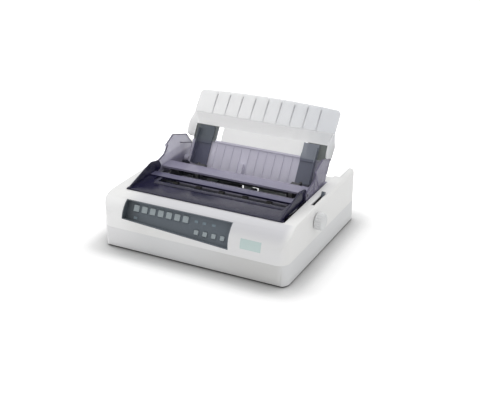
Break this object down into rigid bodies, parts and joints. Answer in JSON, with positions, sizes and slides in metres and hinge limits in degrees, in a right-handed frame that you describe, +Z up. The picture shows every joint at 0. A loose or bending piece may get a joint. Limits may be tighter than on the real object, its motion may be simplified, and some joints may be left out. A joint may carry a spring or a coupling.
{
  "type": "dot matrix printer",
  "caption": "Desktop dot matrix printer with a hinged smoke access cover, raised sheet guide, platen with knob, travelling print head, push tractors and a key panel.",
  "frame": {"origin": "on the desk under the middle of the case, in the plane of the feet", "axes": "+X to the right seen from the front, +Y to the rear, +Z up"},
  "size_m": [0.4179, 0.3493, 0.2365],
  "materials": {
    "shell_white": "fine moulded texture, warm white",
    "shell_grey": "fine moulded texture, light grey",
    "rest_white": "smooth white",
    "smoke": "clear tinted purple-grey",
    "panel_dark": "dark green-grey, satin",
    "key_grey": "light grey, satin",
    "lens": "pale window",
    "badge": "blank pale teal plate",
    "board": "circuit board",
    "metal_case": "zinc-plated sheet",
    "rod_steel": "ground steel",
    "black_plastic": "black moulded",
    "black_rubber": "black rubber",
    "motor_black": "black painted can",
    "gear_plastic": "natural acetal",
    "pan_grey": "dark coated sheet",
    "knob_blue": "blue moulded"
  },
  "bodies": {
    "chassis": {"lower_case": "shell_grey", "rubber_feet": "black_rubber", "upper_case": "shell_white", "case_screws": "rod_steel", "panel_bezel": "panel_dark", "status_lenses": "lens", "panel_board": "board", "name_badge": "badge", "mains_inlet": "black_plastic", "main_board": "board", "power_supply": "metal_case", "left_frame": "metal_case", "right_frame": "metal_case", "carriage_shaft": "rod_steel", "carriage_rail": "metal_case", "paper_pan": "pan_grey", "carriage_motor": "motor_black", "feed_motor": "motor_black", "carriage_belt": "black_rubber", "guide_base": "smoke", "tractor_rod": "rod_steel"},
    "cover": {"access_cover": "smoke"},
    "separator": {"separator": "smoke"},
    "paper_rest": {"paper_rest": "rest_white"},
    "left_edge_guide": {"left_edge_guide": "smoke"},
    "right_edge_guide": {"right_edge_guide": "smoke"},
    "platen": {"platen_roller": "black_rubber", "platen_shaft": "rod_steel", "platen_knob": "shell_grey", "platen_gear": "gear_plastic"},
    "idler_gear": {"idler_gear": "gear_plastic"},
    "motor_pinion": {"motor_pinion": "rod_steel"},
    "carriage": {"carriage": "black_plastic", "print_head": "motor_black", "ribbon_cartridge": "black_plastic"},
    "ribbon_knob": {"ribbon_knob": "knob_blue"},
    "paper_lever": {"paper_lever": "panel_dark"},
    "bail": {"bail_bar": "rod_steel"},
    "bail_rollers": {"bail_rollers": "black_rubber"},
    "left_tractor": {"left_tractor": "black_plastic"},
    "right_tractor": {"right_tractor": "black_plastic"},
    "left_tractor_door": {"left_tractor_door": "black_plastic"},
    "right_tractor_door": {"right_tractor_door": "black_plastic"},
    "left_sprocket": {"left_sprocket": "gear_plastic"},
    "right_sprocket": {"right_sprocket": "gear_plastic"},
    "tractor_shaft": {"tractor_shaft": "rod_steel"},
    "drive_pulley": {"drive_pulley": "gear_plastic"},
    "idle_pulley": {"idle_pulley": "gear_plastic"},
    "power_rocker": {"power_rocker": "black_plastic"},
    "key_1": {"key_1": "key_grey"},
    "key_2": {"key_2": "key_grey"},
    "key_3": {"key_3": "key_grey"},
    "key_4": {"key_4": "key_grey"},
    "key_5": {"key_5": "key_grey"},
    "key_6": {"key_6": "key_grey"},
    "key_7": {"key_7": "key_grey"},
    "key_8": {"key_8": "key_grey"},
    "key_9": {"key_9": "key_grey"},
    "key_10": {"key_10": "key_grey"},
    "key_11": {"key_11": "key_grey"}
  },
  "joints": [
    {"name": "cover_hinge", "type": "hinge", "parent": "chassis", "child": "cover", "pos_m": [0, -0.01, 0.118], "axis": [-1, 0, 0], "range_deg": [0, 100]},
    {"name": "separator_tilt", "type": "hinge", "parent": "chassis", "child": "separator", "pos_m": [0, 0.1013, 0.09684], "axis": [-1, 0, 0], "range_deg": [0, 30]},
    {"name": "paper_rest_slide", "type": "slide", "parent": "separator", "child": "paper_rest", "axis": [0, 0.5299, 0.848], "range_m": [0, 0.04]},
    {"name": "left_guide_slide", "type": "slide", "parent": "separator", "child": "left_edge_guide", "axis": [1, 0, 0], "range_m": [0, 0.06]},
    {"name": "right_guide_slide", "type": "slide", "parent": "separator", "child": "right_edge_guide", "axis": [1, 0, 0], "range_m": [-0.075, 0.024]},
    {"name": "platen_spin", "type": "hinge", "parent": "chassis", "child": "platen", "pos_m": [0, -0.034, 0.082], "axis": [1, 0, 0], "continuous": true},
    {"name": "idler_spin", "type": "hinge", "parent": "chassis", "child": "idler_gear", "pos_m": [0, 0.014, 0.082], "axis": [1, 0, 0], "continuous": true},
    {"name": "pinion_spin", "type": "hinge", "parent": "chassis", "child": "motor_pinion", "pos_m": [0, 0.014, 0.052], "axis": [1, 0, 0], "continuous": true},
    {"name": "tractor_shaft_spin", "type": "hinge", "parent": "chassis", "child": "tractor_shaft", "pos_m": [0, 0.062, 0.082], "axis": [1, 0, 0], "continuous": true},
    {"name": "left_tractor_slide", "type": "slide", "parent": "chassis", "child": "left_tractor", "axis": [1, 0, 0], "range_m": [-0.02, 0.06]},
    {"name": "right_tractor_slide", "type": "slide", "parent": "chassis", "child": "right_tractor", "axis": [1, 0, 0], "range_m": [-0.06, 0.03]},
    {"name": "left_sprocket_spin", "type": "hinge", "parent": "left_tractor", "child": "left_sprocket", "pos_m": [-0.108, 0.062, 0.082], "axis": [1, 0, 0], "continuous": true},
    {"name": "right_sprocket_spin", "type": "hinge", "parent": "right_tractor", "child": "right_sprocket", "pos_m": [0.108, 0.062, 0.082], "axis": [1, 0, 0], "continuous": true},
    {"name": "left_door_hinge", "type": "hinge", "parent": "left_tractor", "child": "left_tractor_door", "pos_m": [-0.118, 0.062, 0.10067], "axis": [0, -1, 0], "range_deg": [0, 95]},
    {"name": "right_door_hinge", "type": "hinge", "parent": "right_tractor", "child": "right_tractor_door", "pos_m": [0.118, 0.062, 0.10067], "axis": [0, 1, 0], "range_deg": [0, 95]},
    {"name": "carriage_slide", "type": "slide", "parent": "chassis", "child": "carriage", "axis": [1, 0, 0], "range_m": [-0.102, 0.102]},
    {"name": "drive_pulley_spin", "type": "hinge", "parent": "chassis", "child": "drive_pulley", "pos_m": [-0.134, -0.108, 0.034], "axis": [0, 0, 1], "continuous": true},
    {"name": "idle_pulley_spin", "type": "hinge", "parent": "chassis", "child": "idle_pulley", "pos_m": [0.134, -0.108, 0.034], "axis": [0, 0, 1], "continuous": true},
    {"name": "ribbon_knob_spin", "type": "hinge", "parent": "carriage", "child": "ribbon_knob", "pos_m": [-0.034, -0.086, 0.09], "axis": [0, 0, 1], "continuous": true},
    {"name": "paper_lever_swing", "type": "hinge", "parent": "chassis", "child": "paper_lever", "pos_m": [0.188, 0, 0.06], "axis": [1, 0, 0], "range_deg": [0, 50]},
    {"name": "bail_lift", "type": "hinge", "parent": "chassis", "child": "bail", "pos_m": [0, -0.01, 0.104], "axis": [-1, 0, 0], "range_deg": [0, 4]},
    {"name": "bail_roller_spin", "type": "hinge", "parent": "bail", "child": "bail_rollers", "pos_m": [0, -0.04307, 0.10146], "axis": [1, 0, 0], "continuous": true},
    {"name": "power_rocker_tilt", "type": "hinge", "parent": "chassis", "child": "power_rocker", "pos_m": [-0.193, 0.095, 0.027], "axis": [0, 0, 1], "range_deg": [-12, 0]},
    {"name": "key_1_press", "type": "slide", "parent": "chassis", "child": "key_1", "axis": [0, 0.898, -0.4399], "range_m": [0, 0.0012], "stiffness_N_per_m": 300, "springref_m": -0.0005},
    {"name": "key_2_press", "type": "slide", "parent": "chassis", "child": "key_2", "axis": [0, 0.898, -0.4399], "range_m": [0, 0.0012], "stiffness_N_per_m": 300, "springref_m": -0.0005},
    {"name": "key_3_press", "type": "slide", "parent": "chassis", "child": "key_3", "axis": [0, 0.898, -0.4399], "range_m": [0, 0.0012], "stiffness_N_per_m": 300, "springref_m": -0.0005},
    {"name": "key_4_press", "type": "slide", "parent": "chassis", "child": "key_4", "axis": [0, 0.898, -0.4399], "range_m": [0, 0.0012], "stiffness_N_per_m": 300, "springref_m": -0.0005},
    {"name": "key_5_press", "type": "slide", "parent": "chassis", "child": "key_5", "axis": [0, 0.898, -0.4399], "range_m": [0, 0.0012], "stiffness_N_per_m": 300, "springref_m": -0.0005},
    {"name": "key_6_press", "type": "slide", "parent": "chassis", "child": "key_6", "axis": [0, 0.898, -0.4399], "range_m": [0, 0.0012], "stiffness_N_per_m": 300, "springref_m": -0.0005},
    {"name": "key_7_press", "type": "slide", "parent": "chassis", "child": "key_7", "axis": [0, 0.898, -0.4399], "range_m": [0, 0.0012], "stiffness_N_per_m": 300, "springref_m": -0.0005},
    {"name": "key_8_press", "type": "slide", "parent": "chassis", "child": "key_8", "axis": [0, 0.898, -0.4399], "range_m": [0, 0.0012], "stiffness_N_per_m": 300, "springref_m": -0.0005},
    {"name": "key_9_press", "type": "slide", "parent": "chassis", "child": "key_9", "axis": [0, 0.898, -0.4399], "range_m": [0, 0.0012], "stiffness_N_per_m": 300, "springref_m": -0.0005},
    {"name": "key_10_press", "type": "slide", "parent": "chassis", "child": "key_10", "axis": [0, 0.898, -0.4399], "range_m": [0, 0.0012], "stiffness_N_per_m": 300, "springref_m": -0.0005},
    {"name": "key_11_press", "type": "slide", "parent": "chassis", "child": "key_11", "axis": [0, 0.898, -0.4399], "range_m": [0, 0.0012], "stiffness_N_per_m": 300, "springref_m": -0.0005}
  ],
  "couplings": [
    {"joint": "idler_spin", "follows": "platen_spin", "ratio": -1},
    {"joint": "pinion_spin", "follows": "platen_spin", "ratio": 4},
    {"joint": "tractor_shaft_spin", "follows": "platen_spin", "ratio": 1},
    {"joint": "left_sprocket_spin", "follows": "platen_spin", "ratio": 1},
    {"joint": "right_sprocket_spin", "follows": "platen_spin", "ratio": 1},
    {"joint": "drive_pulley_spin", "follows": "carriage_slide", "rad_per_m": -111.11},
    {"joint": "idle_pulley_spin", "follows": "carriage_slide", "rad_per_m": -111.11}
  ]
}
